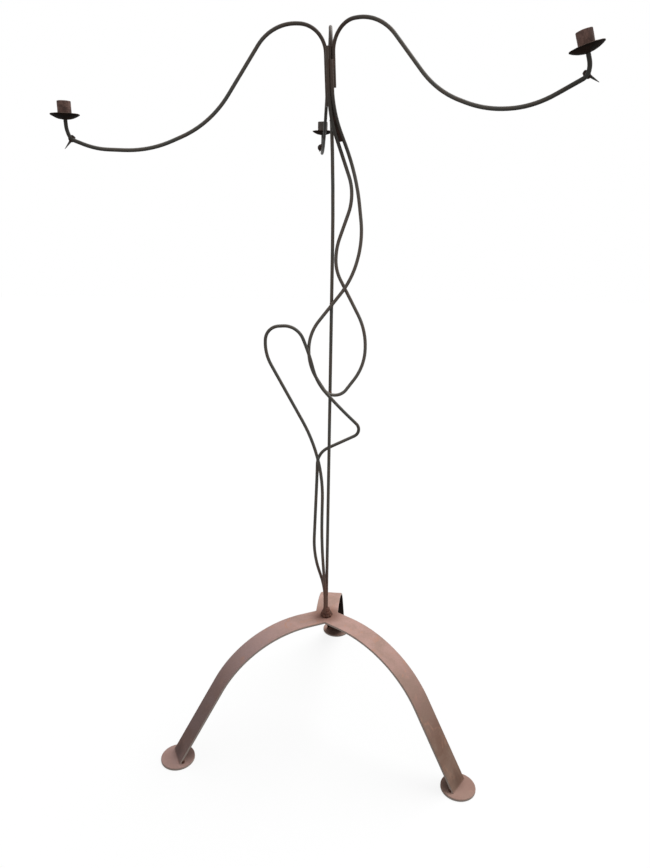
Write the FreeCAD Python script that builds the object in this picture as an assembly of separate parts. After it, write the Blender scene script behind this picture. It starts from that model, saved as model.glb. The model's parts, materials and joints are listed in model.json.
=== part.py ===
"""Three-arm floor candelabra: a tripod of bent strip, a pole, two looped bars and three arms.

Millimetres and degrees, +Z up. The origin is on the floor, in the middle of the outline.
Turns are plan angles from +X towards +Y, and the front of the candelabra faces -Y.
"""

import FreeCAD, Part
import math
import os

V = FreeCAD.Vector
UP = V(0, 0, 1)

# Stock
BAR_DIAMETER = 8.0
BAR_GAP = 0.3
STRIP_WIDTH = 60.0
STRIP_THICKNESS = 6.0
STRIP_ROUND = 1.0

# Where the pole stands in the outline
POLE_X = 68.5
POLE_Y = -109.2

# Tripod: each leg is level at the hub, bends over and leans out by its splay down to its foot
HUB_HEIGHT = 333.0
LEG_REACH = 425.0
LEG_TURNS = {"left": 203.5, "right": 322.5, "back": 85.0}
LEG_FLATS = {"left": 63.0, "right": 63.0, "back": 35.0}
LEG_SPLAYS = {"left": 32.0, "right": 32.0, "back": 37.4}
FOOT_DIAMETER = 88.0
FOOT_THICKNESS = 6.0
FOOT_ROUND = 2.0

# Pole and the bars that stand or hang beside it
POLE_LENGTH = 1382.0
HUB_BUNDLE = 80.0
# The pole is upright in the hub bundle and bowed above it: heights of its bend and its top, and how
# far they lie towards +X, as shares of its length
POLE_BOW_SHARES = ((0.80, 0.0030), (1.0, -0.0063))
OUTER_STRAND_WELD = 125.0
INNER_STRAND_WELD = 90.0
OUTER_STRAND_STEP = 25.0
LOOP_REACH = 160.0
LOWER_START_TURN = 120.0
LOWER_END_TURN = 240.0
OUTER_STRAND_TURN = 294.0
INNER_STRAND_TURN = 234.0
TOUCH_TURN = 0.0
BEND_SHARE = 0.48

# Corners of the looped bars: across as a share of the loop reach, towards the back in bar
# pitches, and up as a share of the pole's free length, which ends where the outer strand leaves it
LOWER_LOOP_SHARES = (
    (-0.228, 0.60, 0.145),
    (-0.185, 0.50, 0.324),
    (-0.180, 1.15, 0.373),
    (0.450, 0.90, 0.413),
    (0.462, 0.20, 0.431),
    (0.155, -2.10, 0.473),
    (-0.205, -2.10, 0.523),
    (-0.325, -2.10, 0.581),
    (-0.500, -1.60, 0.633),
    (-0.970, -0.30, 0.628),
    (-0.990, 0.00, 0.576),
    (-0.088, -0.60, 0.365),
    (-0.100, -0.60, 0.180),
)
UPPER_EYE_SHARES = (
    (0.325, -0.60, 0.898),
    (0.430, -0.60, 0.787),
    (0.288, -1.05, 0.717),
    (-0.328, -1.05, 0.617),
    (-0.328, -1.05, 0.554),
    (-0.040, -1.05, 0.497),
    (0.181, -0.90, 0.497),
    (0.516, -0.10, 0.554),
    (0.516, 0.10, 0.623),
)
UPPER_TOUCH_SHARES = (0.733, 0.773)
UPPER_RISE_SHARES = (
    (0.256, -0.30, 0.848),
    (0.256, -0.40, 0.881),
    (0.000, -1.15, 0.981),
)

# Arms: each rises along the pole past its top, then has corners that are outward, sideways and up
# from the top of its shank, all as shares of the reach
ARM_REACH = 550.0
ARM_TURNS = {"left": 187.0, "right": 321.0, "back": 92.8}
SHANK_TURNS = {"left": 166.0, "right": 0.0, "back": 62.0}
SHANK_LENGTHS = {"left": 115.0, "right": 78.0, "back": 90.0}
ARM_RISE_SHARES = {"left": 0.075, "right": 0.084, "back": 0.088}
ARM_SHARES = {
    "left": (
        (0.205, 0.0, 0.075),
        (0.446, 0.0, -0.281),
        (0.688, 0.0, -0.384),
        (0.889, 0.0, -0.380),
        (0.981, 0.0, -0.346),
        (0.992, 0.0, -0.308),
        (0.992, 0.0, -0.279),
    ),
    "right": (
        (0.212, 0.005, 0.084),
        (0.462, 0.010, -0.191),
        (0.658, 0.010, -0.264),
        (0.827, 0.010, -0.2665),
        (0.995, 0.008, -0.1925),
        (0.999, 0.008, -0.161),
        (0.990, 0.003, -0.129),
    ),
    "back": (
        (0.212, -0.008, 0.088),
        (0.457, 0.000, -0.236),
        (0.678, -0.001, -0.324),
        (0.897, -0.004, -0.324),
        (0.987, -0.009, -0.290),
        (1.006, -0.012, -0.255),
        (1.006, -0.012, -0.224),
    ),
}

# Drip pan, candle cup and the tenon that holds them
PAN_DIAMETER = 59.0
PAN_DEPTH = 7.5
PAN_THICKNESS = 2.0
TENON_DIAMETER = 5.0
TENON_FIT = 0.2
HEAD_DIAMETER = 10.0
HEAD_THICKNESS = 1.0
CUP_DIAMETER = 28.0
CUP_WALL = 2.5
CUP_HEIGHT = 32.0
CUP_ROUND = 1.2

# Thorn across each arm, under the cup
THORN_LENGTH = 33.0
THORN_DIAMETER = 8.0
THORN_POINT = 1.0
THORN_DROPS = {"left": 50.0, "right": 33.0, "back": 25.0}
THORN_SIDES = {"left": -1.0, "right": 1.0, "back": 1.0}
THORN_BUTT_SHARES = {"left": 0.2, "right": 0.32, "back": 0.25}
THORN_PLACE_SHARES = {"left": 0.45, "right": 0.6, "back": 0.5}

# Welds
HUB_WELD_DIAMETER = 34.0
HUB_WELD_HEIGHT = 26.0
SEAM_WELD_DIAMETER = 7.0
FOOT_WELD_DIAMETER = 12.0
CROWN_WELD_DIAMETER = 7.0
CROWN_WELD_LENGTH = 20.0
TACK_DIAMETER = 10.0
WEB_THICKNESS = 5.0
WEB_RISE_SHARES = (0.952, 0.992)

PITCH = BAR_DIAMETER + BAR_GAP
FREE_LENGTH = POLE_LENGTH - OUTER_STRAND_WELD
POLE_FOOT = V(POLE_X, POLE_Y, HUB_HEIGHT)


def heading(turn):
    """Level unit vector at a plan angle."""
    return V(math.cos(math.radians(turn)), math.sin(math.radians(turn)), 0)


def halfway(start, end):
    return (start + end) / 2


def line(start, end):
    return Part.LineSegment(start, end).toShape()


def arc(start, middle, end):
    return Part.Arc(start, middle, end).toShape()


def bend(before, corner, after):
    """Start, middle and end of the widest tangent arc that fits at a corner."""
    back = before - corner
    ahead = after - corner
    trim = BEND_SHARE * min(back.Length, ahead.Length)
    back.normalize()
    ahead.normalize()
    half = back.getAngle(ahead) / 2
    inward = (back + ahead).normalize()
    middle = corner + inward * (trim / math.cos(half) - trim * math.tan(half))
    return corner + back * trim, middle, corner + ahead * trim


def route(corners):
    """Straight runs between corners, joined by tangent bends."""
    edges = []
    start = corners[0]
    for before, corner, after in zip(corners, corners[1:], corners[2:]):
        enter, middle, leave = bend(before, corner, after)
        edges.append(line(start, enter))
        edges.append(arc(enter, middle, leave))
        start = leave
    edges.append(line(start, corners[-1]))
    return Part.Wire(edges)


def bar(path, diameter=BAR_DIAMETER):
    """Round bar along a route."""
    first = path.OrderedVertexes[0].Point
    along = path.OrderedEdges[0].tangentAt(path.OrderedEdges[0].FirstParameter)
    section = Part.Wire(Part.Circle(first, along, diameter / 2).toShape())
    return path.makePipeShell([section], True, False)


def largest(shape):
    """The biggest solid that a cut leaves."""
    return max(shape.Solids, key=lambda solid: solid.Volume)


def stand(shape, foot, axis):
    """A shape made about +Z, set with its zero at foot and its +Z along axis."""
    shape = shape.copy()
    shape.Placement = FreeCAD.Placement(foot, FreeCAD.Rotation(UP, axis))
    return shape


def turned(outline):
    """Solid of revolution about +Z from edges in the XZ plane."""
    return Part.Face(Part.Wire(outline)).revolve(V(), UP, 360)


def pole_corners():
    """Foot, end of the hub bundle, bend and top of the pole."""
    above = [POLE_FOOT + V(across, 0, up) * POLE_LENGTH for up, across in POLE_BOW_SHARES]
    return [POLE_FOOT, POLE_FOOT + UP * HUB_BUNDLE] + above


def pole_axis(rise):
    """Point of the pole's axis at a height above the hub."""
    height = HUB_HEIGHT + rise
    corners = pole_corners()
    for start, end in zip(corners, corners[1:]):
        if height <= end.z:
            break
    return start + (end - start) * ((height - start.z) / (end.z - start.z))


def beside_pole(turn, rise):
    """Axis of a bar that runs along the pole, at a height above the hub."""
    return pole_axis(rise) + heading(turn) * PITCH


def off_pole(across, back, up):
    """Corner of a looped bar from its shares and pitches."""
    return pole_axis(up * FREE_LENGTH) + V(across * LOOP_REACH, back * PITCH, 0)


def lower_route():
    """Both ends stand on the hub; the loop leans left and has a hairpin on the right."""
    corners = [beside_pole(LOWER_START_TURN, 0), beside_pole(LOWER_START_TURN, HUB_BUNDLE)]
    corners += [off_pole(*shares) for shares in LOWER_LOOP_SHARES]
    corners += [beside_pole(LOWER_END_TURN, HUB_BUNDLE), beside_pole(LOWER_END_TURN, 0)]
    return route(corners)


def upper_route():
    """Both ends hang from the pole's top; the loop makes an eye round the pole."""
    corners = [beside_pole(OUTER_STRAND_TURN, POLE_LENGTH - OUTER_STRAND_STEP),
               beside_pole(OUTER_STRAND_TURN, FREE_LENGTH)]
    corners += [off_pole(*shares) for shares in UPPER_EYE_SHARES]
    corners += [beside_pole(TOUCH_TURN, share * FREE_LENGTH) for share in UPPER_TOUCH_SHARES]
    corners += [off_pole(*shares) for shares in UPPER_RISE_SHARES]
    corners += [beside_pole(INNER_STRAND_TURN, POLE_LENGTH - INNER_STRAND_WELD),
                beside_pole(INNER_STRAND_TURN, POLE_LENGTH)]
    return route(corners)


def arm_corners(name):
    """Shank along the pole's top, then the corners of the arm out to the cup."""
    turn = SHANK_TURNS[name]
    shank = beside_pole(turn, POLE_LENGTH)
    out = heading(ARM_TURNS[name])
    side = UP.cross(out)
    corners = [beside_pole(turn, POLE_LENGTH - SHANK_LENGTHS[name]),
               beside_pole(turn, POLE_LENGTH + ARM_RISE_SHARES[name] * ARM_REACH)]
    for outward, sideways, up in ARM_SHARES[name]:
        corners.append(shank + (out * outward + side * sideways + UP * up) * ARM_REACH)
    return corners


def arm_end(name):
    """Shoulder under the drip pan, and the way the arm points there."""
    corners = arm_corners(name)
    return corners[-1], (corners[-1] - corners[-2]).normalize()


def leg_profile(name):
    """Side outline of a leg: level at the hub, bent over, then straight down to its foot."""
    flat = LEG_FLATS[name]
    splay = math.radians(LEG_SPLAYS[name])
    half = STRIP_THICKNESS / 2
    drop = HUB_HEIGHT - half - FOOT_THICKNESS
    spread = LEG_REACH - flat - drop * math.tan(splay)
    radius = spread * math.cos(splay) / (1 - math.sin(splay))
    centre = V(flat, 0, HUB_HEIGHT - half - radius)
    middle = (splay + math.pi / 2) / 2

    def on_bend(angle, reach):
        return centre + V(math.cos(angle), 0, math.sin(angle)) * reach

    def on_foot(reach):
        leave = on_bend(splay, reach)
        fall = (leave.z - FOOT_THICKNESS) / math.cos(splay)
        return leave + V(math.sin(splay), 0, -math.cos(splay)) * fall

    edges = []
    for reach in (radius + half, radius - half):
        over = on_bend(math.pi / 2, reach)
        leave = on_bend(splay, reach)
        edges.append(line(V(0, 0, over.z), over))
        edges.append(arc(over, on_bend(middle, reach), leave))
        edges.append(line(leave, on_foot(reach)))
    edges.append(line(V(0, 0, HUB_HEIGHT), V(0, 0, HUB_HEIGHT - STRIP_THICKNESS)))
    edges.append(line(on_foot(radius + half), on_foot(radius - half)))
    return Part.Wire(Part.__sortEdges__(edges))


def make_strip(name):
    """Bent strip along +X with eased long edges."""
    strip = Part.Face(leg_profile(name)).extrude(V(0, STRIP_WIDTH, 0))
    strip.translate(V(0, -STRIP_WIDTH / 2, 0))
    long_edges = []
    for edge in strip.Edges:
        box = edge.BoundBox
        if box.YLength < STRIP_ROUND and box.DiagonalLength > STRIP_WIDTH / 2:
            long_edges.append(edge)
    return strip.makeFillet(min(STRIP_ROUND, STRIP_THICKNESS / 3), long_edges)


def seams():
    """Plan angle of each mitred seam, halfway between two legs, and half the angle between them."""
    turns = sorted(LEG_TURNS.values())
    following = turns[1:] + [turns[0] + 360]
    return [((turn + after) / 2, (after - turn) / 2) for turn, after in zip(turns, following)]


def make_leg(name):
    """Bent strip, mitred against its two neighbours at the hub."""
    turn = LEG_TURNS[name]
    strip = make_strip(name)
    strip.rotate(V(), UP, turn)
    sides = [heading(seam) for seam, half in seams()]
    sides.sort(key=lambda side: -side.dot(heading(turn)))
    far = 2 * LEG_REACH + STRIP_WIDTH
    plan = [V(), sides[0] * far, heading(turn) * far, sides[1] * far, V()]
    wedge = Part.Face(Part.makePolygon(plan)).extrude(UP * HUB_HEIGHT)
    leg = strip.common(wedge)
    leg.translate(V(POLE_X, POLE_Y, 0))
    return largest(leg)


def foot_centre(name):
    return V(POLE_X, POLE_Y, 0) + heading(LEG_TURNS[name]) * LEG_REACH


def make_foot(name):
    """Flat round plate with an eased upper edge."""
    plate = Part.makeCylinder(FOOT_DIAMETER / 2, FOOT_THICKNESS, foot_centre(name))
    upper = [edge for edge in plate.Edges if edge.CenterOfMass.z > FOOT_THICKNESS / 2]
    rim = [edge for edge in upper if isinstance(edge.Curve, Part.Circle)]
    return plate.makeFillet(min(FOOT_ROUND, FOOT_THICKNESS / 2), rim)


def dish_radius():
    return (PAN_DIAMETER ** 2 / 4 + PAN_DEPTH ** 2) / (2 * PAN_DEPTH)


def dish_top(radius):
    """Height of the pan's upper face above the arm's shoulder."""
    inner = dish_radius() - PAN_THICKNESS
    return dish_radius() - math.sqrt(inner ** 2 - radius ** 2)


def make_pan():
    """Dished round pan with a hole for the tenon."""
    outer = dish_radius()
    inner = outer - PAN_THICKNESS
    hole = TENON_DIAMETER / 2 + TENON_FIT
    rim = math.asin(PAN_DIAMETER / 2 / outer)

    def on_dish(radius, angle):
        return V(radius * math.sin(angle), 0, outer - radius * math.cos(angle))

    def half_section(radius):
        start = math.asin(hole / radius)
        return on_dish(radius, start), on_dish(radius, (start + rim) / 2), on_dish(radius, rim)

    under = half_section(outer)
    over = half_section(inner)
    return turned([arc(*under), line(under[-1], over[-1]), arc(*reversed(over)), line(over[0], under[0])])


def make_cup():
    """Short tube that sits in the pan, with an eased mouth."""
    outer = CUP_DIAMETER / 2
    inner = outer - CUP_WALL
    top = dish_top(outer) + CUP_HEIGHT
    ease = min(CUP_ROUND, CUP_WALL / 2)
    slant = ease * math.sin(math.pi / 4)
    foot_in = V(inner, 0, dish_top(inner))
    foot_out = V(outer, 0, dish_top(outer))
    low = V(outer, 0, top - ease)
    bulge = V(outer - ease + slant, 0, top - ease + slant)
    high = V(outer - ease, 0, top)
    mouth = V(inner, 0, top)
    return turned([line(foot_in, foot_out), line(foot_out, low), arc(low, bulge, high),
                   line(high, mouth), line(mouth, foot_in)])


def make_tenon():
    """Shouldered tenon with its end hammered over inside the cup."""
    seat = dish_top(HEAD_DIAMETER / 2)
    pin = Part.makeCylinder(TENON_DIAMETER / 2, seat + HEAD_THICKNESS)
    head = Part.makeCylinder(HEAD_DIAMETER / 2, HEAD_THICKNESS, V(0, 0, seat))
    return pin.fuse(head)


def make_arm(name):
    """Bent bar with the tenon at its outer end."""
    rod = bar(route(arm_corners(name)))
    return rod.fuse(stand(make_tenon(), *arm_end(name))).removeSplitter()


def arm_knee(name):
    """Where the thorn crosses the arm, on the bend under the cup."""
    knee = arc(*bend(*arm_corners(name)[-4:-1]))
    start = knee.FirstParameter
    return knee.valueAt(start + (knee.LastParameter - start) * THORN_PLACE_SHARES[name])


def thorn_middle(name):
    """Point of the thorn's axis beside the arm's knee."""
    across = THORN_DIAMETER + (THORN_POINT - THORN_DIAMETER) * THORN_BUTT_SHARES[name]
    aside = (BAR_DIAMETER + across) / 2 + BAR_GAP
    return arm_knee(name) + UP.cross(heading(ARM_TURNS[name])) * (THORN_SIDES[name] * aside)


def make_thorn(name):
    """Pointed spur with a blunt butt on the inner side."""
    drop = math.radians(THORN_DROPS[name])
    aim = heading(ARM_TURNS[name]) * math.cos(drop) - UP * math.sin(drop)
    cone = Part.makeCone(THORN_DIAMETER / 2, THORN_POINT / 2, THORN_LENGTH)
    return stand(cone, thorn_middle(name) - aim * (THORN_LENGTH * THORN_BUTT_SHARES[name]), aim)


def make_tack(start, end, pieces):
    """Weld between two axes: a ball halfway, less the pieces that it joins."""
    ball = Part.makeSphere(TACK_DIAMETER / 2, halfway(start, end))
    for piece in pieces:
        ball = ball.cut(piece)
    return largest(ball)


def make_hub_weld(bars):
    """Lump of weld round the feet of the pole and the lower loop."""
    base = HUB_WELD_DIAMETER / 2
    shoulder_share = 0.45
    bottom = V(base, 0, 0)
    top = V(PITCH, 0, HUB_WELD_HEIGHT)
    belly = V(base - BAR_DIAMETER / 4, 0, HUB_WELD_HEIGHT * shoulder_share)
    lump = turned([line(V(), bottom), arc(bottom, belly, top),
                   line(top, UP * HUB_WELD_HEIGHT), line(UP * HUB_WELD_HEIGHT, V())])
    lump.translate(POLE_FOOT)
    return largest(lump.cut(bars))


def make_seam_welds(legs):
    """Bead under the hub along each mitred seam."""
    under = POLE_FOOT - UP * STRIP_THICKNESS
    beads = []
    for seam, half in seams():
        length = STRIP_WIDTH / 2 / math.sin(math.radians(half)) - 2 * SEAM_WELD_DIAMETER
        start = under + heading(seam) * SEAM_WELD_DIAMETER
        bead = Part.makeCylinder(SEAM_WELD_DIAMETER / 2, length, start, heading(seam))
        beads.append(largest(bead.cut(legs)))
    return Part.makeCompound(beads)


def make_foot_welds(legs, feet):
    """Bead in the corner between each leg's inner face and its foot."""
    beads = []
    for name in LEG_TURNS:
        out = heading(LEG_TURNS[name])
        side = UP.cross(out)
        corner = foot_centre(name) + UP * FOOT_THICKNESS - out * STRIP_THICKNESS
        start = corner - side * (STRIP_WIDTH / 2)
        bead = Part.makeCylinder(FOOT_WELD_DIAMETER / 2, STRIP_WIDTH, start, side)
        beads.append(largest(bead.cut([legs[name], feet[name]])))
    return Part.makeCompound(beads)


def make_crown_welds(bars):
    """Beads in the grooves between neighbouring bars round the pole's top."""
    turns = sorted(list(SHANK_TURNS.values()) + [OUTER_STRAND_TURN, INNER_STRAND_TURN])
    following = turns[1:] + [turns[0] + 360]
    rise = POLE_LENGTH - OUTER_STRAND_STEP - CROWN_WELD_LENGTH
    beads = []
    for turn, after in zip(turns, following):
        foot = halfway(beside_pole(turn, rise), beside_pole(after, rise))
        bead = Part.makeCylinder(CROWN_WELD_DIAMETER / 2, CROWN_WELD_LENGTH, foot)
        beads.append(largest(bead.cut(bars)))
    return Part.makeCompound(beads)


def crossings(path, beyond):
    """Points where a route passes from one side of a plane to the other."""
    points = path.discretize(Distance=BAR_DIAMETER)
    found = []
    for start, end in zip(points, points[1:]):
        before = beyond(start)
        after = beyond(end)
        if before * after < 0:
            found.append(start + (end - start) * (before / (before - after)))
    return found


def make_loop_tacks(paths, bars):
    """Tack at each place where a looped bar crosses the pole against it."""
    tacks = []
    for path in paths:
        for crossing in crossings(path, lambda point: point.x - pole_axis(point.z - HUB_HEIGHT).x):
            if abs(crossing.y - POLE_Y) < PITCH + BAR_DIAMETER / 2:
                tacks.append(make_tack(pole_axis(crossing.z - HUB_HEIGHT), crossing, bars))
    return Part.makeCompound(tacks)


def make_strand_web(path, tacks):
    """Weld that fills the narrow end of the gap between the upper loop's two strands."""
    outline = []
    for share in WEB_RISE_SHARES:
        height = HUB_HEIGHT + share * FREE_LENGTH
        strands = crossings(path, lambda point: point.z - height)
        outline.append(sorted(strands, key=lambda point: point.x))
    (low_inner, low_outer), (high_inner, high_outer) = outline
    back = (low_inner.y + low_outer.y + high_inner.y + high_outer.y) / 4 + WEB_THICKNESS / 2
    corners = [V(point.x, back, point.z) for point in (low_inner, low_outer, high_outer, high_inner, low_inner)]
    web = Part.Face(Part.makePolygon(corners)).extrude(V(0, -WEB_THICKNESS, 0))
    return largest(web.cut([bar(path, BAR_DIAMETER + BAR_GAP)] + tacks.Solids))


def main():
    os.makedirs("parts", exist_ok=True)
    legs = {name: make_leg(name) for name in LEG_TURNS}
    feet = {name: make_foot(name) for name in LEG_TURNS}
    arms = {name: make_arm(name) for name in ARM_TURNS}
    thorns = {name: make_thorn(name) for name in ARM_TURNS}
    pole = bar(route(pole_corners()))
    paths = {"lower_loop": lower_route(), "upper_loop": upper_route()}
    loops = {name: bar(path) for name, path in paths.items()}
    bars = [pole, loops["lower_loop"], loops["upper_loop"]]
    thorn_welds = [make_tack(arm_knee(name), thorn_middle(name), [arms[name], thorns[name]])
                   for name in ARM_TURNS]

    pieces = {"pole": pole, **loops}
    for name in LEG_TURNS:
        pieces["leg_" + name] = legs[name]
        pieces["foot_" + name] = feet[name]
    for name in ARM_TURNS:
        pieces["arm_" + name] = arms[name]
        pieces["thorn_" + name] = thorns[name]
        pieces["drip_pan_" + name] = stand(make_pan(), *arm_end(name))
        pieces["candle_cup_" + name] = stand(make_cup(), *arm_end(name))
    pieces["hub_weld"] = make_hub_weld(bars)
    pieces["hub_seam_welds"] = make_seam_welds(list(legs.values()))
    pieces["foot_welds"] = make_foot_welds(legs, feet)
    pieces["crown_welds"] = make_crown_welds(bars + list(arms.values()))
    pieces["loop_tacks"] = make_loop_tacks(paths.values(), bars)
    pieces["strand_web"] = make_strand_web(paths["upper_loop"], pieces["loop_tacks"])
    pieces["thorn_welds"] = Part.makeCompound(thorn_welds)

    for name, path in paths.items():
        expected = math.pi * BAR_DIAMETER ** 2 / 4 * path.Length
        print(name, "volume over section times length", loops[name].Volume / expected)
    for name in ARM_TURNS:
        print(name, "shoulder and axis", *arm_end(name))
    for name, shape in pieces.items():
        shape.exportStep("parts/" + name + ".step")
    print(len(pieces), "pieces")


main()
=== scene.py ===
"""Finish, weld beads and stage for a three-arm wrought-iron floor candelabra, laid out as an add-on.

Metres, +Z up. The front of the candelabra faces -Y, and its pole stands right of the middle.
"""

import json
import math

import bmesh
import bpy
import numpy as np
from mathutils import Matrix, Vector, noise


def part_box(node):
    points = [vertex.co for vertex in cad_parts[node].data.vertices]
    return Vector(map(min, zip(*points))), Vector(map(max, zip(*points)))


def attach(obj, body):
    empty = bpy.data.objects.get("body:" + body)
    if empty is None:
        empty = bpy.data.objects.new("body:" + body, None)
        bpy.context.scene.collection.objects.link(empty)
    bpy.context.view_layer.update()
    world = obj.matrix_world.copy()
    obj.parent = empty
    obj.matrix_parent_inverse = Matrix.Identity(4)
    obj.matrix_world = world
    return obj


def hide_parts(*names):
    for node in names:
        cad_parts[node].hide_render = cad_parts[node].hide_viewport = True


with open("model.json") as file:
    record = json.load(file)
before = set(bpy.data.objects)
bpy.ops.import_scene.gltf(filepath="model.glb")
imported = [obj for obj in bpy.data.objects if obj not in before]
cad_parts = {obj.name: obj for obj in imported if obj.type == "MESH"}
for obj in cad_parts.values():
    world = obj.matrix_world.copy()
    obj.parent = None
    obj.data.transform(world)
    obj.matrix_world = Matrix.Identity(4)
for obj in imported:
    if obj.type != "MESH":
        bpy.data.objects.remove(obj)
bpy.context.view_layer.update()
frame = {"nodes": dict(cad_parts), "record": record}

bl_info = {
    "name": "Wrought-Iron Candelabra",
    "version": (1, 0, 0),
    "blender": (4, 5, 0),
    "location": "View3D > Sidebar > Candelabra",
    "description": "Dresses the candelabra's bars, strips, pans, cups and welds and sets its stage",
    "category": "Object",
}

MM = 0.001
MERGE_DISTANCE = 1e-6  # corners nearer than this are one corner
MERGE_DIGITS = 6
UP = Vector((0, 0, 1))
WHITE = (1.0, 1.0, 1.0, 1.0)
FLOOR_REACH = 9.0

NODES = frame["nodes"]
SIDES = ("left", "right", "back")
BARS = ["pole", "lower_loop"] + [f"{kind}_{side}" for kind in ("arm", "thorn") for side in SIDES]
STRIPS = [f"{kind}_{side}" for kind in ("leg", "foot") for side in SIDES]
PANS = ["drip_pan_" + side for side in SIDES]
BEADS = ("hub_seam_welds", "foot_welds", "crown_welds", "loop_tacks", "thorn_welds")
CUP_MOUNTS = {mount["name"]: mount for mount in frame["record"]["mounts"] if mount["kind"] == "bore"}

# Iron skin: how much finer the blooms are than the patches, and the specks' share of the relief.
BLOOM_FINENESS = 2.3
SPECK_RELIEF = 0.45

# Where masks start and are full, by how far a face looks up: 1 is up, -1 is down.
HIGHLIGHT_TOPS = (0.1, 0.9)
# The bars' under sides take painted shade.
SHADE_UNDER_SIDES = (0.0, -0.8)
PAN_HIGHLIGHT_TOPS = (-0.1, 0.7)
CLEAR_OF_BOTTOM = (-0.35, -0.15)
CLEAR_OF_TOP = (0.45, 0.2)
OFF_UNDER_SHADE = (-0.35, 0.05)

# Weakest and strongest: rubbed flecks on the bars, whose grey on the tops is also a painted highlight, and
# rust blooms from the floor up to the hub.
FLECK_STRENGTH = (0.35, 1.0)
RUST_STRENGTH = (0.25, 0.6)

# Dents: how much finer the small ones are, and their share of the depth.
FINE_DENTS = 2.7
FINE_DEPTH = 0.45

# Pans and cups: faces round and along them, and shares of their radius, sheet and wall.
PAN_FACES = 96
PAN_RINGS = 18
PAN_HOLE = 0.09
PAN_LIP = 0.12
PAN_DENT_WIDTH = 0.7
PAN_SEED = 3.0
CUP_FACES = 72
CUP_RINGS = 12
CUP_EASE = 0.4
CUP_CHAMFER = 0.7
CUP_OUTER_ROUND = 0.3
CUP_INNER_ROUND = 0.5
CUP_DENT_DEPTH = 0.55
CUP_SEED = 11.0

# Hub weld: width and height of its lumps as shares of the CAD weld's radius and height, and their rise.
HUB_CORE = (0.80, 0.42)
HUB_CORE_RISE = 0.30
HUB_COLLAR = (0.58, 0.34)
HUB_COLLAR_RISE = 0.35
HUB_DROPS = 9
HUB_DROP_RING = 0.70
HUB_DROP_SIZE = 0.30
HUB_DROP_SPREAD = 0.08
HUB_DROP_RISE = 0.6
HUB_DROP_HEIGHT = 0.9
HUB_RELIEF = {"depth": 0.7 * MM, "grain": 4 * MM, "seed": 21.0}

# Beads: shares of the CAD bead's radius, of the ripple step and of the weld's skin.
BEAD_WIDTH = 0.86
BEAD_SWAY = 0.10
BEAD_SPREAD = 0.10
BEAD_OVERLAP = 0.95
BEAD_SKIN = 0.75
BEAD_RELIEF = {"depth": 0.25 * MM, "grain": 2.5 * MM}
BEAD_SEED = 31.0
RIPPLE_SEED = 5

# Thorns: the left tack's share of the fattest one, how far in a butt's tack sits, and a thorn's end.
LEFT_BLOB = 0.78
BUTT_INSET = 0.4
THORN_END = 0.1

# Strand web: its tip runs from its upper end to where the strands meet.
WEB_TIP = Vector((-3.6, 0.0, 17.0)) * MM
WEB_TIP_LUMPS = 7
WEB_TIP_WIDTH = 2.8 * MM
WEB_TIP_TAPER = 1.2 * MM
WEB_TIP_RIPPLE = 3.2 * MM
WEB_UPPER_END = 1 * MM
WEB_SKIN = 0.6
WEB_RELIEF = {"depth": 0.8 * MM, "grain": 5 * MM, "seed": 41.0}


def colour(name, description, default):
    """A colour that a user may change."""
    return bpy.props.FloatVectorProperty(
        name=name, description=description, default=default, subtype="COLOR", min=0.0, max=1.0)


def length(name, description, default):
    """A length that a user may change."""
    return bpy.props.FloatProperty(
        name=name, description=description, default=default,
        subtype="DISTANCE", unit="LENGTH", precision=5)


def angle(name, description, default):
    """An angle, given in degrees, that a user may change."""
    return bpy.props.FloatProperty(
        name=name, description=description, default=math.radians(default),
        subtype="ANGLE", unit="ROTATION")


def amount(name, description, default):
    """A plain number that a user may change."""
    return bpy.props.FloatProperty(name=name, description=description, default=default, min=0.0)


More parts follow.
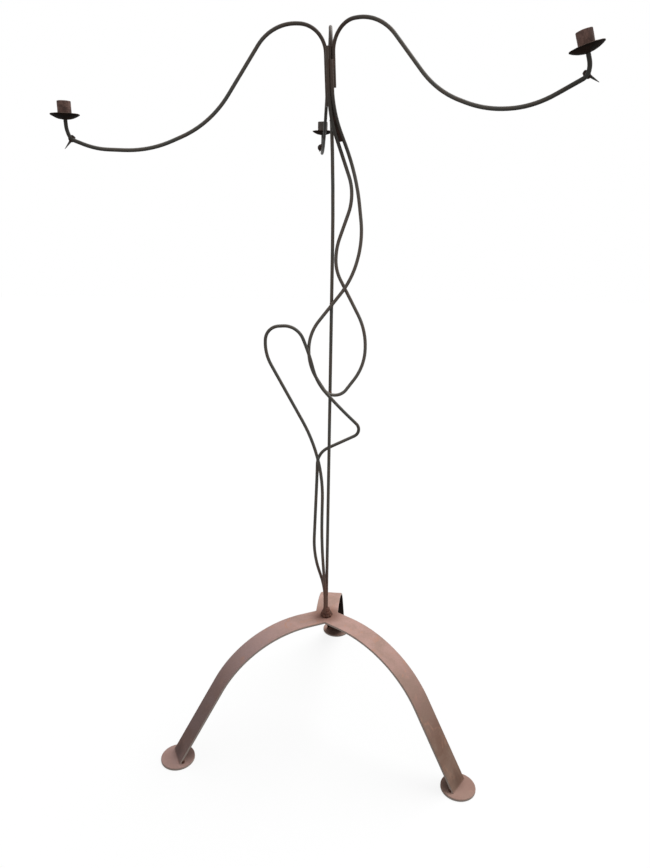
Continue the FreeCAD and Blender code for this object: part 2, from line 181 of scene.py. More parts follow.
class CandelabraColours(bpy.types.PropertyGroup):
    """Colours of the iron's finishes and of the floor."""

    bar_black: colour("Bar black", "Blackened skin of the round bars", (0.112, 0.110, 0.099))
    bar_brown: colour("Bar brown", "Old rust under the black", (0.148, 0.121, 0.099))
    # Grey of rubbed flecks, which on the tops also paints the bars' highlight.
    bar_grey_and_highlight: colour("Bar grey", "Where the black is rubbed thin", (0.270, 0.256, 0.238))
    bar_shade: colour("Bar under", "Sooty under sides and stretches of the bars", (0.040, 0.038, 0.034))
    # Painted shade: the dark laid on the bars' under sides, under the pans and between the upper loop's
    # strands.
    loop_grey: colour("Loop grey", "Skin of the upper loop, which hands have rubbed", (0.168, 0.154, 0.136))
    loop_brown: colour("Loop brown", "Browner patches of the upper loop", (0.182, 0.145, 0.121))
    strip_rose: colour("Strip rose", "Dry pinkish patina round the hub", (0.505, 0.322, 0.280))
    strip_brown: colour("Strip brown", "Browner patina towards the floor", (0.208, 0.124, 0.092))
    strip_olive: colour("Strip olive", "Duller clouds in the patina, at the right", (0.300, 0.212, 0.166))
    strip_mauve: colour("Strip mauve", "Cooler clouds in the patina, at the left", (0.300, 0.216, 0.210))
    strip_lilac: colour("Strip lilac", "The cooler clouds near the hub", (0.430, 0.302, 0.292))
    # Worn edges, and painted light on the side faces that the key light misses.
    strip_edge_wear_and_light: colour("Strip edge", "Worn edges of the strips and plates", (0.580, 0.490, 0.430))
    strip_rust: colour("Strip rust", "Small blooms of orange rust", (0.520, 0.275, 0.190))
    # Black of the scale specks, also used as painted shade on the under faces and on the foot plates under
    # the legs.
    strip_scale_and_shade: colour("Strip scale", "Black mill scale on the under faces", (0.022, 0.013, 0.010))
    # Soot black, made dark enough to paint the shade under the pans; also the cups' specks and painted
    # shade on the welds.
    pan_soot_and_shade: colour("Pan black", "Sooted drip pans", (0.009, 0.007, 0.006))
    pan_brown: colour("Pan brown", "Brown rust on the pans", (0.032, 0.019, 0.014))
    # Painted highlight on the pans' upper faces and rims.
    pan_top_highlight: colour("Pan rim", "Rubbed upper faces and rims of the pans", (0.210, 0.150, 0.125))
    cup_brown: colour("Cup brown", "Browned candle cups", (0.265, 0.156, 0.128))
    cup_dark: colour("Cup dark", "Darker patches on the cups", (0.118, 0.074, 0.064))
    weld_brown: colour("Weld brown", "Browned weld metal", (0.165, 0.074, 0.053))
    weld_dark: colour("Weld dark", "Slag and soot in the welds", (0.085, 0.050, 0.038))
    heat_brown: colour("Heat brown", "Reddish tint left by the weld's heat", (0.190, 0.092, 0.066))
    floor_pale: colour("Floor", "Pale studio floor", (0.95, 0.95, 0.95))
    floor_bounce: colour("Floor bounce", "The floor, for light that bounces off it", (0.22, 0.22, 0.22))


class CandelabraSizes(bpy.types.PropertyGroup):
    """Sizes of the modelled and painted detail."""

    patch_size: length("Patch size", "Width of the larger patches of colour", 45 * MM)
    speck_size: length("Speck size", "Width of the specks", 2.5 * MM)
    dent_size: length("Dent size", "Width of one hammer dent", 9 * MM)
    dent_depth: length("Dent depth", "Depth of the hammer dents in the pans and cups", 0.35 * MM)
    skin_depth: length("Skin depth", "Depth of the scale's fine relief", 0.12 * MM)
    patina_low: length("Patina low", "Height below which the legs are brown", 80 * MM)
    patina_high: length("Patina high", "Height above which the legs are rose", 345 * MM)
    cool_start: length("Cool start", "Distance left of the pole from which the patina is cooler", 20 * MM)
    cool_end: length("Cool end", "Distance left of the pole where the patina is coolest", 200 * MM)
    # Also the reach of the painted shade on the welds near the strand web and the pans.
    heat_and_shade_near: length("Heat near", "Distance from a weld up to which the bars are browned", 50 * MM)
    heat_and_shade_far: length("Heat far", "Distance from a weld where the bars are black again", 190 * MM)
    burn_near: length("Burn near", "Distance from the hub weld up to which the strips are burnt", 20 * MM)
    burn_far: length("Burn far", "Distance from the hub weld where the strips are clean again", 57 * MM)
    # Reach of the painted shade on the bars near the pans and the strand web, and of the soot on the back
    # cup.
    soot_and_shade_near: length("Soot near", "Distance from a sooty piece up to which bars are sooty", 30 * MM)
    soot_and_shade_far: length("Soot far", "Distance from a sooty piece where bars are clean again", 110 * MM)
    plate_top: length(
        "Plate top", "Height up to which the foot plates are rubbed pale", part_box("foot_left")[1].z)
    plate_fade: length("Plate fade", "Height over which the pale rub fades above a plate", 4 * MM)
    # Painted shadow of each leg on the inner half of its foot plate.
    leg_shadow_shift: length("Dirt shift", "How far inside a plate's middle its dirt lies", 26 * MM)
    leg_shadow_near: length("Dirt near", "Reach of the darkest dirt on a plate", 10 * MM)
    leg_shadow_far: length("Dirt far", "Reach of all the dirt on a plate", 46 * MM)
    pan_thickness: length("Pan thickness", "Thickness of the drip pans' sheet", 2 * MM)
    weld_skin: length("Weld skin", "Size of one face of the weld metal", 0.8 * MM)
    blob_size: length("Blob size", "Width of the fattest tack, on the back thorn", 19 * MM)
    butt_size: length("Butt size", "Width of the tacks on the butts of the other thorns", 11.5 * MM)
    ripple_step: length("Ripple step", "Distance between the ripples of a weld bead", 3.2 * MM)


class CandelabraStage(bpy.types.PropertyGroup):
    """Camera and light."""

    camera_place: bpy.props.FloatVectorProperty(
        name="Camera", description="Where the camera stands", default=(0.0595, -1.7482, 1.400),
        subtype="TRANSLATION", unit="LENGTH")
    camera_pitch: angle("Pitch", "How far the camera looks down", 18.4)
    camera_roll: angle("Roll", "How far the camera leans", 0.62)
    camera_lens: bpy.props.FloatProperty(
        name="Lens", description="Focal length on a 36 mm long side", default=28.66, unit="CAMERA")
    key_strength: amount("Key light", "Strength of the high soft light", 2.6)
    key_tilt: angle("Key tilt", "How far the high light leans towards the back", 22.0)
    key_turn: angle("Key turn", "How far the high light leans towards the right", 32.0)
    key_softness: angle("Key softness", "Apparent width of the high light", 52.0)
    fill_strength: amount("Fill light", "Light from all round", 0.45)
    shadow_share: amount("Shadow", "Share of the floor that takes the shadow", 0.15)


def settings():
    """The colours and sizes as the user has them."""
    scene = bpy.context.scene
    return scene.candelabra_colours, scene.candelabra_sizes


def node_middle(name):
    """Middle of a CAD node's box."""
    low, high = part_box(name)
    return (low + high) / 2


def add_node(tree, kind, inputs=None, **options):
    """A shader node with its options and its inputs, each a value or a socket to link from."""
    made = tree.nodes.new(kind)
    for key, value in options.items():
        setattr(made, key, value)
    for socket, value in (inputs or {}).items():
        if isinstance(value, bpy.types.NodeSocket):
            tree.links.new(value, made.inputs[socket])
        else:
            made.inputs[socket].default_value = value
    return made


def spread(tree, value, low, high):
    """A value stretched so that low becomes 0 and high becomes 1."""
    made = add_node(tree, "ShaderNodeMapRange", {"Value": value, "From Min": low, "From Max": high},
                    interpolation_type="SMOOTHSTEP")
    return made.outputs["Result"]


def between(tree, value, low, high):
    """A share turned into a value between low and high."""
    made = add_node(tree, "ShaderNodeMapRange", {"Value": value, "To Min": low, "To Max": high})
    return made.outputs["Result"]


def mixed(tree, share, first, second):
    """Two colours, each plain or a socket, mixed by a share."""
    made = add_node(tree, "ShaderNodeMix", data_type="RGBA")
    sockets = {socket.identifier: socket for socket in made.inputs}
    for name, value in (("Factor_Float", share), ("A_Color", first), ("B_Color", second)):
        if isinstance(value, bpy.types.NodeSocket):
            tree.links.new(value, sockets[name])
        else:
            sockets[name].default_value = (*value, 1.0)
    return next(socket for socket in made.outputs if socket.identifier == "Result_Color")


def worked(tree, operation, first, second):
    """Two values put together by one of the Math node's operations."""
    return add_node(tree, "ShaderNodeMath", {0: first, 1: second}, operation=operation).outputs["Value"]


def times(tree, first, second):
    """Two values multiplied."""
    return worked(tree, "MULTIPLY", first, second)


def iron_skin_group():
    """Shared effect: patches, blooms, specks and relief of hand-worked iron, from object coordinates."""
    if "Iron Skin" in bpy.data.node_groups:
        return bpy.data.node_groups["Iron Skin"]
    group = bpy.data.node_groups.new("Iron Skin", "ShaderNodeTree")
    group.interface.new_socket("Vector", in_out="INPUT", socket_type="NodeSocketVector")
    for name in ("Patch Scale", "Speck Scale", "Dent Scale"):
        group.interface.new_socket(name, in_out="INPUT", socket_type="NodeSocketFloat")
    for name in ("Patches", "Blooms", "Specks", "Height"):
        group.interface.new_socket(name, in_out="OUTPUT", socket_type="NodeSocketFloat")
    given = group.nodes.new("NodeGroupInput").outputs
    result = group.nodes.new("NodeGroupOutput").inputs
    place = given["Vector"]
    patch = add_node(group, "ShaderNodeTexNoise", {
        "Vector": place, "Scale": given["Patch Scale"],
        "Detail": 5.0, "Roughness": 0.6, "Distortion": 0.5})
    bloom = add_node(group, "ShaderNodeTexNoise", {
        "Vector": place, "Scale": times(group, given["Patch Scale"], BLOOM_FINENESS),
        "Detail": 3.0, "Roughness": 0.5, "Distortion": 1.2})
    speck = add_node(group, "ShaderNodeTexNoise", {
        "Vector": place, "Scale": given["Speck Scale"], "Detail": 4.0, "Roughness": 0.7})
    dent = add_node(group, "ShaderNodeTexVoronoi", {
        "Vector": place, "Scale": given["Dent Scale"], "Smoothness": 0.8}, feature="SMOOTH_F1")
    masks = {"Patches": (patch, 0.36, 0.64), "Blooms": (bloom, 0.56, 0.74), "Specks": (speck, 0.46, 0.70)}
    for name, (texture, low, high) in masks.items():
        group.links.new(spread(group, texture.outputs["Fac"], low, high), result[name])
    fine = times(group, speck.outputs["Fac"], SPECK_RELIEF)
    group.links.new(worked(group, "ADD", dent.outputs["Distance"], fine), result["Height"])
    return group


class Finish:
    """A material under way: its tree, its shader, the shared iron skin and the colour laid on so far."""

    def __init__(self, name, sizes, patch_share=1.0, dent_share=1.0):
        self.material = bpy.data.materials.new(name)
        self.material.use_nodes = True
        self.tree = self.material.node_tree
        self.shader = self.tree.nodes["Principled BSDF"]
        self.place = add_node(self.tree, "ShaderNodeTexCoord").outputs
        self.relief = sizes.skin_depth
        self.base = None
        scales = {"Patch Scale": patch_share / sizes.patch_size, "Speck Scale": 1.0 / sizes.speck_size,
                  "Dent Scale": dent_share / sizes.dent_size}
        self.skin = add_node(self.tree, "ShaderNodeGroup", node_tree=iron_skin_group())
        for socket, value in scales.items():
            self.skin.inputs[socket].default_value = value
        self.tree.links.new(self.place["Object"], self.skin.inputs["Vector"])

    def effect(self, name):
        """One of the iron skin's outputs."""
        return self.skin.outputs[name]

    def upward(self, low, high):
        """0 on faces that look up as little as low, 1 on faces that do as much as high."""
        parts = add_node(self.tree, "ShaderNodeSeparateXYZ", {"Vector": self.place["Normal"]})
        return spread(self.tree, parts.outputs["Z"], low, high)

    def along(self, axis, start, end):
        """0 before the start on an axis of the candelabra, 1 past the end."""
        parts = add_node(self.tree, "ShaderNodeSeparateXYZ", {"Vector": self.place["Object"]})
        return spread(self.tree, parts.outputs[axis], start, end)

    def around(self, point, near, far):
        """1 near a point, 0 far from it."""
        away = add_node(self.tree, "ShaderNodeVectorMath", {0: self.place["Object"], 1: point},
                        operation="DISTANCE")
        return spread(self.tree, away.outputs["Value"], far, near)

    def lay(self, first, second, mask):
        """Sets the colour: the first where the mask is 0, the second where it is 1."""
        self.base = mixed(self.tree, mask, first, second)

    def tint(self, pigment, mask, share=1.0):
        """Lays a pigment over the colour where the mask is, at a share of the mask's strength."""
        strength = mask if share == 1.0 else times(self.tree, mask, share)
        self.base = mixed(self.tree, strength, self.base, pigment)

    def done(self, roughness, specular):
        """The material, with its colour, gloss and relief on the shader."""
        patchy = between(self.tree, self.effect("Patches"), *roughness)
        bump = add_node(self.tree, "ShaderNodeBump", {
            "Height": self.effect("Height"), "Distance": self.relief})
        self.tree.links.new(self.base, self.shader.inputs["Base Color"])
        self.tree.links.new(patchy, self.shader.inputs["Roughness"])
        self.tree.links.new(bump.outputs["Normal"], self.shader.inputs["Normal"])
        self.shader.inputs["Specular IOR Level"].default_value = specular
        return self.material


def bar_iron(name, skin, under_skin, sooty, colours, sizes):
    """Blackened bar: brown under thin black, grey where it is rubbed and as a painted highlight on the
    tops, painted shade on the under sides and near some nodes.
    """
    finish = Finish(name, sizes)
    finish.lay(skin, under_skin, finish.effect("Patches"))
    flecks = between(finish.tree, finish.effect("Specks"), *FLECK_STRENGTH)
    # Grey flecks laid on the tops only: rubbed wear and painted highlight.
    finish.tint(colours.bar_grey_and_highlight, times(finish.tree, flecks, finish.upward(*HIGHLIGHT_TOPS)))
    # Painted shade on the bars' under sides.
    finish.tint(colours.bar_shade, finish.upward(*SHADE_UNDER_SIDES), share=0.9)
    hub = finish.around(node_middle("hub_weld"), sizes.heat_and_shade_near, sizes.heat_and_shade_far)
    finish.tint(colours.heat_brown, hub, share=0.8)
    crown = finish.around(node_middle("crown_welds"), sizes.heat_and_shade_near, sizes.heat_and_shade_far)
    finish.tint(colours.weld_dark, crown, share=0.6)
    # Painted shade near the pans, which hang over the bars, and near the strand web, between the upper
    # loop's strands.
    for node in sooty:
        soot = finish.around(node_middle(node), sizes.soot_and_shade_near, sizes.soot_and_shade_far)
        finish.tint(colours.bar_shade, soot, share=0.75)
    return finish.done(roughness=(0.45, 0.62), specular=0.15)


def strip_iron(colours, sizes):
    """Hot-rolled strip: dry rose-brown patina above, scale specks, black painted shade on the under faces
    and the foot plates, and side faces lightened for wear and painted light.
    """
    finish = Finish("Strip Iron", sizes, patch_share=0.75)
    tree = finish.tree
    height = finish.along("Z", sizes.patina_low, sizes.patina_high)
    finish.lay(colours.strip_brown, colours.strip_rose, height)
    pole = node_middle("pole").x
    cool = finish.along("X", pole - sizes.cool_start, pole - sizes.cool_end)
    grey = mixed(tree, height, colours.strip_mauve, colours.strip_lilac)
    clouds = mixed(tree, cool, colours.strip_olive, grey)
    finish.tint(grey, cool, share=0.45)
    finish.tint(clouds, finish.effect("Patches"), share=0.52)
    rusty = between(tree, height, *RUST_STRENGTH)
    finish.tint(colours.strip_rust, times(tree, finish.effect("Blooms"), rusty))
    finish.tint(colours.strip_scale_and_shade, finish.effect("Specks"), share=0.14)
    burnt = finish.around(node_middle("hub_weld"), sizes.burn_near, sizes.burn_far)
    finish.tint(colours.heat_brown, burnt, share=0.7)
    plates = finish.along("Z", sizes.plate_top + sizes.plate_fade, sizes.plate_top)
    finish.tint(colours.strip_rose, plates, share=0.42)
    # Painted shadow that each leg throws on the inner half of its foot plate.
    for side in SIDES:
        plate = node_middle("foot_" + side)
        inside = plate - Vector((plate.x, plate.y, 0)).normalized() * sizes.leg_shadow_shift
        leg_shadow = finish.around(inside, sizes.leg_shadow_near, sizes.leg_shadow_far)
        finish.tint(colours.strip_scale_and_shade, leg_shadow, share=0.55)
    # Side faces lightened: worn edges, and painted light where the key light misses them.
    edges = times(tree, finish.upward(*CLEAR_OF_BOTTOM), finish.upward(*CLEAR_OF_TOP))
    finish.tint(colours.strip_edge_wear_and_light, edges, share=0.8)
    # Painted shade: the under faces turn black.
    finish.lay(colours.strip_scale_and_shade, finish.base, finish.upward(*OFF_UNDER_SHADE))
    return finish.done(roughness=(0.75, 0.92), specular=0.02)


def pan_iron(colours, sizes):
    """Sooted hammered sheet, painted dark for the shade beneath, with a painted highlight on its upper
    faces and rims.
    """
    finish = Finish("Pan Iron", sizes, patch_share=2.0)
    # Near-black sheet: soot, and painted shade on the under sides.
    finish.lay(colours.pan_soot_and_shade, colours.pan_brown, finish.effect("Patches"))
    finish.tint(colours.pan_soot_and_shade, finish.effect("Specks"), share=0.4)
    # Painted highlight on the upper faces.
    finish.tint(colours.pan_top_highlight, finish.upward(*PAN_HIGHLIGHT_TOPS), share=0.8)
    return finish.done(roughness=(0.70, 0.85), specular=0.05)


def cup_iron(colours, sizes):
    """Browned tube, sooty on the back arm."""
    finish = Finish("Cup Iron", sizes, patch_share=2.5)
    finish.lay(colours.cup_brown, colours.cup_dark, finish.effect("Patches"))
    finish.tint(colours.pan_soot_and_shade, finish.effect("Specks"), share=0.35)
    soot = finish.around(node_middle("candle_cup_back"), sizes.soot_and_shade_near, sizes.soot_and_shade_far)
    finish.tint(colours.bar_black, soot, share=0.7)
    return finish.done(roughness=(0.55, 0.75), specular=0.15)


def weld_metal(colours, sizes):
    """Lumpy brown weld with soot in its hollows, and painted shade between the strands and near the pans.
    """
    if "Weld Metal" in bpy.data.materials:
        return bpy.data.materials["Weld Metal"]
    finish = Finish("Weld Metal", sizes, patch_share=4.0, dent_share=3.0)
    finish.lay(colours.weld_brown, colours.weld_dark, finish.effect("Patches"))
    finish.tint(colours.strip_brown, finish.effect("Blooms"), share=0.5)
    # Painted shade on the welds between the upper loop's strands and under the pans.
    for node in ("strand_web", *PANS):
        soot = finish.around(node_middle(node), sizes.heat_and_shade_near, sizes.heat_and_shade_far)
        finish.tint(colours.pan_soot_and_shade, soot, share=0.78)
    return finish.done(roughness=(0.55, 0.8), specular=0.10)


def dress(names, material):
    """Gives CAD nodes a material in their own slots."""
    for name in names:
        for slot in NODES[name].material_slots:
            slot.material = material


def roughen(mesh, depth, grain, seed):
    """Pushes vertices in and out along their normals by a steady noise."""
    offset = Vector((seed, seed / 2, -seed))
    mesh.normal_update()
    for vertex in mesh.verts:
        coarse = noise.noise(vertex.co / grain + offset)
        fine = noise.noise(vertex.co / grain * FINE_DENTS - offset)
        vertex.co += vertex.normal * depth * (coarse + fine * FINE_DEPTH)


def turned(outline, steps):
    """A closed outline in the XZ plane, spun about +Z."""
    mesh = bmesh.new()
    ring = [mesh.verts.new((radius, 0.0, height)) for radius, height in outline]
    for start, end in zip(ring, ring[1:] + ring[:1]):
        mesh.edges.new((start, end))
    bmesh.ops.spin(mesh, geom=mesh.verts[:] + mesh.edges[:], cent=(0, 0, 0), axis=UP,
                   angle=math.tau, steps=steps, use_merge=True)
    bmesh.ops.remove_doubles(mesh, verts=mesh.verts, dist=MERGE_DISTANCE)
    bmesh.ops.recalc_face_normals(mesh, faces=mesh.faces)
    return mesh


def turn_towards(axis):
    """The turn that brings +Z onto an axis."""
    return UP.rotation_difference(axis).to_matrix().to_4x4()


def stand(mesh, foot, axis):
    """Sets a mesh made about +Z on a point, along an axis."""
    bmesh.ops.transform(mesh, matrix=Matrix.Translation(foot) @ turn_towards(axis), verts=mesh.verts)


def finished(name, mesh, material, node):
    """Turns a bmesh into a smooth piece that rides on the body and stands for a CAD node."""
    data = bpy.data.meshes.new(name)
    mesh.to_mesh(data)
    mesh.free()
    data.materials.append(material)
    data.shade_smooth()
    piece = bpy.data.objects.new(name, data)
    bpy.context.scene.collection.objects.link(piece)
    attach(piece, "root")
    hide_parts(node)


def skinned(mesh, voxel):
    """One even skin round overlapping lumps."""
    data = bpy.data.meshes.new("lumps")
    mesh.to_mesh(data)
    mesh.free()
    holder = bpy.data.objects.new("lumps", data)
    bpy.context.scene.collection.objects.link(holder)
    remesh = holder.modifiers.new("Skin", "REMESH")
    remesh.mode = "VOXEL"
    remesh.voxel_size = voxel
    graph = bpy.context.evaluated_depsgraph_get()
    even = bpy.data.meshes.new_from_object(holder.evaluated_get(graph))
    made = bmesh.new()
    made.from_mesh(even)
    bpy.data.objects.remove(holder)
    bpy.data.meshes.remove(data)
    bpy.data.meshes.remove(even)
    return made


def islands(name):
    """The separate solids of a CAD node, each as an array of its corners, in the same order each run."""
    data = NODES[name].data
    corners = np.array([vertex.co for vertex in data.vertices]).round(MERGE_DIGITS)
    spots, index = np.unique(corners, axis=0, return_inverse=True)
    faces = index.reshape(-1)[np.array([face.vertices[:] for face in data.polygons])]
    label = np.arange(len(spots))
    while True:
        joined = label.copy()
        np.minimum.at(joined, faces, label[faces].min(1, keepdims=True))
        if np.array_equal(joined, label):
            break
        label = joined
    return [spots[label == value] for value in np.unique(label)]


def long_axis(corners):
    """The direction in which a cloud of corners is longest."""
    offsets = corners - corners.mean(0)
    along = np.linalg.eigh((offsets.T @ offsets).round(12))[1][:, -1]
    return along * np.sign(along[np.abs(along).argmax()])


def lump(mesh, centre, radii, turn=None):
    """An egg-shaped lump added to a bmesh."""
    matrix = Matrix.Translation(centre) @ (turn or Matrix.Identity(4)) @ Matrix.Diagonal((*radii, 1.0))
    bmesh.ops.create_icosphere(mesh, subdivisions=3, radius=1.0, matrix=matrix)


def bead(mesh, corners, step):
    """Ripples of weld along the longest way through a CAD solid."""
    middle = (corners.min(0) + corners.max(0)) / 2
    along = long_axis(corners)
    reach = (corners - middle) @ along
    start, end = reach.min(), reach.max()
    across = corners - middle - np.outer(reach, along)
    radius = np.linalg.norm(across, axis=1).max() * BEAD_WIDTH
    count = max(2, round((end - start) / step))
    turn = turn_towards(Vector(along))
    for index in range(count):
        share = (index + 0.5) / count
        # Each ripple takes its own place in the noise, so no two beads are alike.
        sway = noise.noise_vector(Vector((index * 1.7, middle[0] * 90, middle[2] * 90)))
        swell = noise.noise(Vector((index * 2.3, middle[1] * 70, 3.0)))
        size = radius * (1 + BEAD_SPREAD * swell)
        centre = Vector(middle + along * (start + (end - start) * share)) + sway * radius * BEAD_SWAY
        lump(mesh, centre, (size, size, step * BEAD_OVERLAP), turn)


def thorn_butt(side, inset):
    """A point on a thorn's axis, a little inside its blunt end."""
    corners = islands("thorn_" + side)[0]
    reach = (corners - corners.mean(0)) @ long_axis(corners)
    margin = np.ptp(reach) * THORN_END
    ends = [corners[reach < reach.min() + margin], corners[reach > reach.max() - margin]]
    ends.sort(key=lambda end: np.ptp(end, axis=0).sum())
    tip, blunt = (Vector(end.mean(0)) for end in ends)
    return blunt + (tip - blunt).normalized() * inset


def thorn_blobs(mesh, sizes):
    """Fat tacks that round off the thorns' butts."""
    tacks = [Vector(corners.mean(0)) for corners in islands("thorn_welds")]
    for side, width in (("back", sizes.blob_size), ("left", sizes.blob_size * LEFT_BLOB)):
        thorn = node_middle("thorn_" + side)
        lump(mesh, min(tacks, key=lambda tack: (tack - thorn).length), (width / 2,) * 3)
    for side in ("left", "right"):
        lump(mesh, thorn_butt(side, sizes.butt_size * BUTT_INSET), (sizes.butt_size / 2,) * 3)


def cup_foot(side):
    """Shoulder under the drip pan, and the cup's axis."""
    mount = CUP_MOUNTS["candle_cup_" + side]
    axis = Vector(mount["axis"]).normalized()
    middle = Vector(mount["pos_m"])
    pan = NODES["drip_pan_" + side].data
    lowest = min((vertex.co - middle).dot(axis) for vertex in pan.vertices)
    return middle + axis * lowest, axis


def node_reach(name, foot, axis):
    """How far a node reaches out from an axis, and its lowest and highest point along it from the foot."""
    offsets = [vertex.co - foot for vertex in NODES[name].data.vertices]
    heights = [offset.dot(axis) for offset in offsets]
    widths = [(offset - axis * height).length for offset, height in zip(offsets, heights)]
    return max(widths), min(heights), max(heights)


def pan_outline(radius, depth, sheet):
    """Section of a dished pan: out along its under side, round its lip and back along its top."""
    bow = (radius ** 2 + depth ** 2) / (2 * depth)
    under = []
    over = []
    for ring in range(PAN_RINGS + 1):
        way = radius * (PAN_HOLE + (1 - PAN_HOLE) * ring / PAN_RINGS)
        under.append((way, bow - math.sqrt(bow ** 2 - way ** 2)))
        over.append((way, bow - math.sqrt((bow - sheet) ** 2 - (way * (1 - sheet / bow)) ** 2)))
    lip = (radius + sheet * PAN_LIP, (under[-1][1] + over[-1][1]) / 2)
    return under + [lip] + over[::-1]


def cup_outline(outer, inner, low, high):
    """Section of a cup's wall: up its outside, over its worn mouth and down its bore."""
    ease = (outer - inner) * CUP_EASE
    rises = [(high - ease - low) * ring / CUP_RINGS for ring in range(CUP_RINGS)]
    outside = [(outer, low + ease * CUP_CHAMFER + rise) for rise in rises]
    out = ease * CUP_OUTER_ROUND
    bore = ease * CUP_INNER_ROUND
    mouth = [(outer, high - ease), (outer - out, high - out), (outer - ease, high),
             (inner + bore, high), (inner, high - bore)]
    inside = [(inner, low + rise) for rise in reversed(rises)]
    return outside + mouth + inside


class CANDELABRA_OT_bars(bpy.types.Operator):
    """Blackened finish on the pole, the looped bars, the arms and the thorns"""

    bl_idname = "candelabra.bars"
    bl_label = "Finish Bars"

    def execute(self, context):
        colours, sizes = settings()
        # The pans and the strand web put painted shade on the bars near them.
        black = bar_iron("Bar Iron", colours.bar_black, colours.bar_brown, PANS, colours, sizes)
        rubbed = bar_iron("Rubbed Bar Iron", colours.loop_grey, colours.loop_brown, ["strand_web"],
                          colours, sizes)
        dress(BARS, black)
        dress(["upper_loop"], rubbed)
        return {"FINISHED"}


class CANDELABRA_OT_strips(bpy.types.Operator):
    """Dry patina on the legs and the foot plates"""

    bl_idname = "candelabra.strips"
    bl_label = "Finish Legs and Feet"

    def execute(self, context):
        dress(STRIPS, strip_iron(*settings()))
        return {"FINISHED"}


class CANDELABRA_OT_pans(bpy.types.Operator):
    """Hammered drip pans with uneven rims"""

    bl_idname = "candelabra.pans"
    bl_label = "Hammer Drip Pans"

    def execute(self, context):
        colours, sizes = settings()
        material = pan_iron(colours, sizes)
        for number, side in enumerate(SIDES):
            foot, axis = cup_foot(side)
            radius, low, high = node_reach("drip_pan_" + side, foot, axis)
            mesh = turned(pan_outline(radius, high - low, sizes.pan_thickness), PAN_FACES)
            roughen(mesh, sizes.dent_depth, sizes.dent_size * PAN_DENT_WIDTH, PAN_SEED + number)
            stand(mesh, foot, axis)
            finished("hammered_pan_" + side, mesh, material, "drip_pan_" + side)
        return {"FINISHED"}


class CANDELABRA_OT_cups(bpy.types.Operator):
    """Candle cups of browned tube with worn mouths"""

    bl_idname = "candelabra.cups"
    bl_label = "Turn Candle Cups"

    def execute(self, context):
        colours, sizes = settings()
        material = cup_iron(colours, sizes)
        for number, side in enumerate(SIDES):
            foot, axis = cup_foot(side)
            outer, low, high = node_reach("candle_cup_" + side, foot, axis)
            inner = CUP_MOUNTS["candle_cup_" + side]["dims"]["r_mm"] * MM
            mesh = turned(cup_outline(outer, inner, low, high), CUP_FACES)
            roughen(mesh, sizes.dent_depth * CUP_DENT_DEPTH, sizes.dent_size, CUP_SEED + number)
            stand(mesh, foot, axis)
            finished("browned_cup_" + side, mesh, material, "candle_cup_" + side)
        return {"FINISHED"}


class CANDELABRA_OT_hub_weld(bpy.types.Operator):
    """Lump of weld round the feet of the pole and the lower loop"""

    bl_idname = "candelabra.hub_weld"
    bl_label = "Lay Hub Weld"

    def execute(self, context):
        colours, sizes = settings()
        low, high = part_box("hub_weld")
        middle = node_middle("hub_weld")
        radius = (high.x - low.x) / 2
        height = high.z - low.z
        mesh = bmesh.new()
        core = Vector((middle.x, middle.y, low.z + height * HUB_CORE_RISE))
        collar = core + Vector((0, 0, height * HUB_COLLAR_RISE))
        for centre, (wide, tall) in ((core, HUB_CORE), (collar, HUB_COLLAR)):
            lump(mesh, centre, (radius * wide, radius * wide, height * tall))
        for index in range(HUB_DROPS):
            turn = math.tau * index / HUB_DROPS
            uneven = noise.noise(Vector((index * 1.9, 4.0, 1.0)))
            out = Vector((math.cos(turn), math.sin(turn), 0)) * radius * HUB_DROP_RING
            size = radius * (HUB_DROP_SIZE + HUB_DROP_SPREAD * uneven)
            drop = Vector((middle.x, middle.y, low.z + size * HUB_DROP_RISE)) + out
            lump(mesh, drop, (size, size, size * HUB_DROP_HEIGHT))
        mesh = skinned(mesh, sizes.weld_skin)
        for vertex in mesh.verts:
            vertex.co.z = max(vertex.co.z, low.z)
        roughen(mesh, **HUB_RELIEF)
        finished("hub_weld_lump", mesh, weld_metal(colours, sizes), "hub_weld")
        return {"FINISHED"}


class CANDELABRA_OT_weld_beads(bpy.types.Operator):
    """Rippled beads at the hub's seams, the feet and the crown, and tacks on the loops and thorns"""

    bl_idname = "candelabra.weld_beads"
    bl_label = "Lay Weld Beads"

    def execute(self, context):
        colours, sizes = settings()
        noise.seed_set(RIPPLE_SEED)
        for number, name in enumerate(BEADS):
            mesh = bmesh.new()
            for corners in islands(name):
                bead(mesh, corners, sizes.ripple_step)
            if name == "thorn_welds":
                thorn_blobs(mesh, sizes)
            mesh = skinned(mesh, sizes.weld_skin * BEAD_SKIN)
            roughen(mesh, **BEAD_RELIEF, seed=BEAD_SEED + number)
            finished("rippled_" + name, mesh, weld_metal(colours, sizes), name)
        return {"FINISHED"}


class CANDELABRA_OT_strand_web(bpy.types.Operator):
    """Web of weld between the upper loop's two strands"""

    bl_idname = "candelabra.strand_web"
    bl_label = "Lay Strand Web"

    def execute(self, context):
        colours, sizes = settings()
        mesh = bmesh.new()
        mesh.from_mesh(NODES["strand_web"].data)
        bmesh.ops.remove_doubles(mesh, verts=mesh.verts, dist=MERGE_DISTANCE)
        highest = max(vertex.co.z for vertex in mesh.verts)
        crest = [vertex.co.copy() for vertex in mesh.verts if vertex.co.z > highest - WEB_UPPER_END]
        upper_end = sum(crest, Vector()) / len(crest)
        for index in range(WEB_TIP_LUMPS):
            share = index / (WEB_TIP_LUMPS - 1)
            width = WEB_TIP_WIDTH - WEB_TIP_TAPER * share
            lump(mesh, upper_end + WEB_TIP * share, (width, width, WEB_TIP_RIPPLE))
        mesh = skinned(mesh, sizes.weld_skin * WEB_SKIN)
        roughen(mesh, **WEB_RELIEF)
        finished("lumpy_strand_web", mesh, weld_metal(colours, sizes), "strand_web")
        return {"FINISHED"}


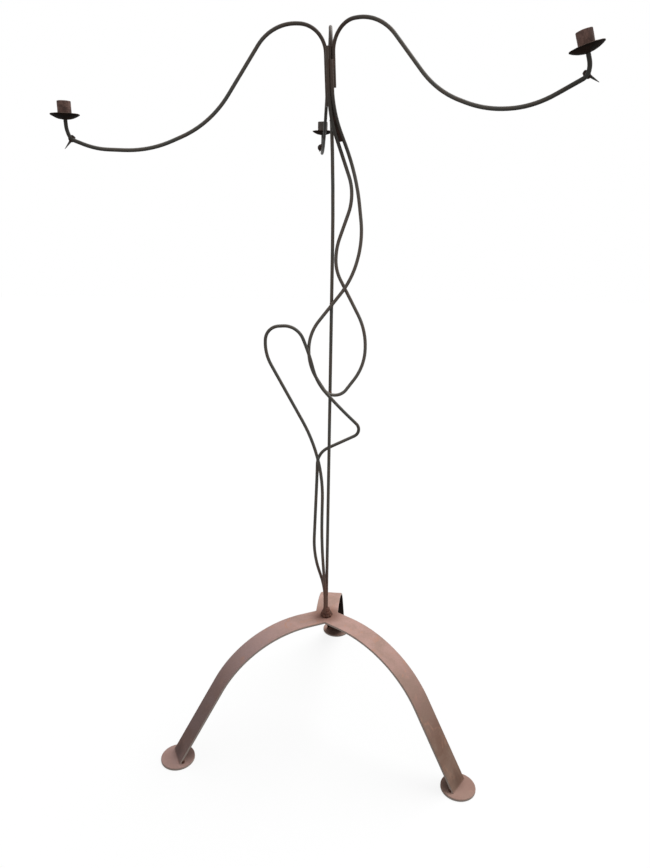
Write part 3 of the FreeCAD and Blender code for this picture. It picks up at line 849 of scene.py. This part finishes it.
def seen(tree):
    """1 for rays from the camera, mirrors and glass, 0 for light that bounces about."""
    path = add_node(tree, "ShaderNodeLightPath").outputs
    mirrored = worked(tree, "MAXIMUM", path["Is Camera Ray"], path["Is Glossy Ray"])
    return worked(tree, "MAXIMUM", mirrored, path["Is Transmission Ray"])


def shaders_mixed(tree, share, first, second):
    """Two shaders mixed by a share."""
    return add_node(tree, "ShaderNodeMixShader", {0: share, 1: first.outputs[0], 2: second.outputs[0]})


def studio_floor(colours, stage):
    """Pale floor, white to the eye, that keeps the candelabra's shadow."""
    material = bpy.data.materials.new("Studio Floor")
    material.use_nodes = True
    tree = material.node_tree
    tree.nodes.clear()
    lit = add_node(tree, "ShaderNodeBsdfDiffuse", {"Color": (*colours.floor_pale, 1.0)})
    glow = add_node(tree, "ShaderNodeEmission", {"Color": WHITE, "Strength": 1.0})
    shown = shaders_mixed(tree, stage.shadow_share, glow, lit)
    dim = add_node(tree, "ShaderNodeBsdfDiffuse", {"Color": (*colours.floor_bounce, 1.0)})
    whole = shaders_mixed(tree, seen(tree), dim, shown)
    add_node(tree, "ShaderNodeOutputMaterial", {"Surface": whole.outputs[0]})
    return material


def studio_world(stage):
    """White to the eye, and an even soft fill for the candelabra."""
    world = bpy.data.worlds.new("Studio")
    world.use_nodes = True
    tree = world.node_tree
    tree.nodes.clear()
    strength = between(tree, seen(tree), stage.fill_strength, 1.0)
    white = add_node(tree, "ShaderNodeBackground", {"Color": WHITE, "Strength": strength})
    add_node(tree, "ShaderNodeOutputWorld", {"Surface": white.outputs[0]})
    return world


class CANDELABRA_OT_stage(bpy.types.Operator):
    """Floor, world, light and camera"""

    bl_idname = "candelabra.stage"
    bl_label = "Set Stage"

    def execute(self, context):
        scene = context.scene
        stage = scene.candelabra_stage
        mesh = bmesh.new()
        bmesh.ops.create_grid(mesh, x_segments=1, y_segments=1, size=FLOOR_REACH)
        data = bpy.data.meshes.new("studio_floor")
        mesh.to_mesh(data)
        mesh.free()
        data.materials.append(studio_floor(scene.candelabra_colours, stage))
        floor = bpy.data.objects.new("studio_floor", data)
        scene.collection.objects.link(floor)
        scene.world = studio_world(stage)

        key = bpy.data.lights.new("Key", "SUN")
        key.energy = stage.key_strength
        key.angle = stage.key_softness
        lamp = bpy.data.objects.new("Key", key)
        lamp.rotation_euler = (-stage.key_tilt, stage.key_turn, 0.0)
        scene.collection.objects.link(lamp)

        lens = bpy.data.cameras.new("Camera")
        lens.lens = stage.camera_lens
        camera = bpy.data.objects.new("Camera", lens)
        camera.location = stage.camera_place
        camera.rotation_mode = "ZYX"
        camera.rotation_euler = (math.pi / 2 - stage.camera_pitch, 0.0, stage.camera_roll)
        scene.collection.objects.link(camera)
        scene.camera = camera
        scene.view_settings.view_transform = "Standard"
        return {"FINISHED"}


SETTINGS = {
    "candelabra_colours": CandelabraColours,
    "candelabra_sizes": CandelabraSizes,
    "candelabra_stage": CandelabraStage,
}
STEPS = (
    CANDELABRA_OT_stage, CANDELABRA_OT_bars, CANDELABRA_OT_strips, CANDELABRA_OT_pans,
    CANDELABRA_OT_cups, CANDELABRA_OT_hub_weld, CANDELABRA_OT_weld_beads, CANDELABRA_OT_strand_web,
)


class CANDELABRA_PT_build(bpy.types.Panel):
    """Lists the steps and settings"""

    bl_idname = "CANDELABRA_PT_build"
    bl_label = "Candelabra"
    bl_space_type = "VIEW_3D"
    bl_region_type = "UI"
    bl_category = "Candelabra"

    def draw(self, context):
        for step in STEPS:
            self.layout.operator(step.bl_idname)
        for group, kind in SETTINGS.items():
            box = self.layout.box()
            for name in kind.__annotations__:
                box.prop(getattr(context.scene, group), name)


def register():
    """Adds the settings, the steps and the panel to Blender."""
    for group, kind in SETTINGS.items():
        bpy.utils.register_class(kind)
        setattr(bpy.types.Scene, group, bpy.props.PointerProperty(type=kind))
    for kind in (*STEPS, CANDELABRA_PT_build):
        bpy.utils.register_class(kind)


def unregister():
    """Takes them out again."""
    for kind in (CANDELABRA_PT_build, *reversed(STEPS)):
        bpy.utils.unregister_class(kind)
    for group, kind in SETTINGS.items():
        delattr(bpy.types.Scene, group)
        bpy.utils.unregister_class(kind)


def main():
    """Runs every step in order."""
    register()
    bpy.ops.candelabra.stage()
    bpy.ops.candelabra.bars()
    bpy.ops.candelabra.strips()
    bpy.ops.candelabra.pans()
    bpy.ops.candelabra.cups()
    bpy.ops.candelabra.hub_weld()
    bpy.ops.candelabra.weld_beads()
    bpy.ops.candelabra.strand_web()


if __name__ == "__main__":
    main()
